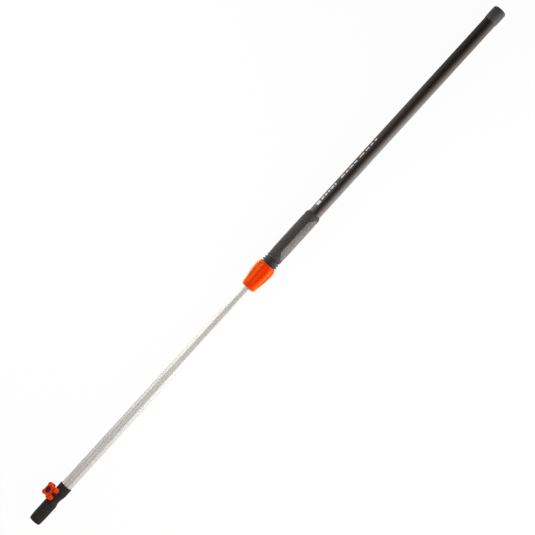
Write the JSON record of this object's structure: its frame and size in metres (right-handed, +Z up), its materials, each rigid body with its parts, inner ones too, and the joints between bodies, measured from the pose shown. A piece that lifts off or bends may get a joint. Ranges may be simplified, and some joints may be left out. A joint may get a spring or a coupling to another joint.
{
  "type": "telescopic window cleaning pole handle",
  "caption": "Two-section telescopic pole handle with a fluted twist-lock nut, a ringed hand grip, an end cap and a tool socket clamped by a lobed knob.",
  "frame": {"origin": "centre of the tool socket's mouth, on the pole's axis", "axes": "+X along the pole from the tool socket's mouth to the end cap, so a tool leaves along -X; +Z up as the pole lies on a floor with the knob above; +Y to the side the knob leans to"},
  "size_m": [1.45, 0.0542, 0.0523],
  "materials": {
    "socket_black": "moulded, satin",
    "insert_brass": "turned",
    "hardware_steel": "zinc plated",
    "inner_aluminium": "satin anodised",
    "plug_black": "moulded",
    "knob_orange": "moulded, semi-gloss",
    "nut_orange": "moulded, semi-gloss",
    "wiper_rubber": "soft",
    "ferrule_grey": "moulded",
    "collar_grey": "moulded",
    "outer_coated": "semi-gloss coated aluminium",
    "grip_rubber": "soft, ringed",
    "pad_rubber": "soft",
    "cap_grey": "moulded, satin"
  },
  "bodies": {
    "handle": {"outer_tube": "outer_coated", "end_cap": "cap_grey", "grip_sleeve": "grip_rubber", "grip_pad_front": "pad_rubber", "grip_pad_back": "pad_rubber", "threaded_collar": "collar_grey", "collar_pin_left": "hardware_steel", "collar_pin_right": "hardware_steel"},
    "inner_section": {"inner_tube": "inner_aluminium", "guide_plug": "plug_black", "plug_rivet_left": "hardware_steel", "plug_rivet_right": "hardware_steel", "tool_socket": "socket_black", "socket_rivet": "hardware_steel", "thread_insert": "insert_brass"},
    "clamp_ring": {"ferrule": "ferrule_grey"},
    "nut": {"clamp_nut": "nut_orange", "nut_wiper": "wiper_rubber"},
    "washer": {"knob_washer": "hardware_steel"},
    "knob": {"clamp_knob": "knob_orange", "knob_cap": "socket_black", "clamp_screw": "hardware_steel"}
  },
  "joints": [
    {"name": "retract", "type": "slide", "parent": "handle", "child": "inner_section", "axis": [1, 0, 0], "range_m": [0, 0.545]},
    {"name": "nut_travel", "type": "slide", "parent": "handle", "child": "clamp_ring", "axis": [1, 0, 0], "range_m": [-0.006, 0]},
    {"name": "nut_turn", "type": "hinge", "parent": "clamp_ring", "child": "nut", "pos_m": [0.7, 0, 0], "axis": [1, 0, 0], "range_deg": [-180.5, 0.5]},
    {"name": "knob_travel", "type": "slide", "parent": "inner_section", "child": "washer", "axis": [0, 0.766, 0.6428], "range_m": [-0.001, 0.003]},
    {"name": "knob_turn", "type": "hinge", "parent": "washer", "child": "knob", "pos_m": [0.072, 0, 0], "axis": [0, 0.766, 0.6428], "range_deg": [-361, 1081]}
  ],
  "couplings": [
    {"joint": "nut_turn", "follows": "nut_travel", "rad_per_m": 523.6},
    {"joint": "knob_turn", "follows": "knob_travel", "rad_per_m": 6283.2}
  ]
}
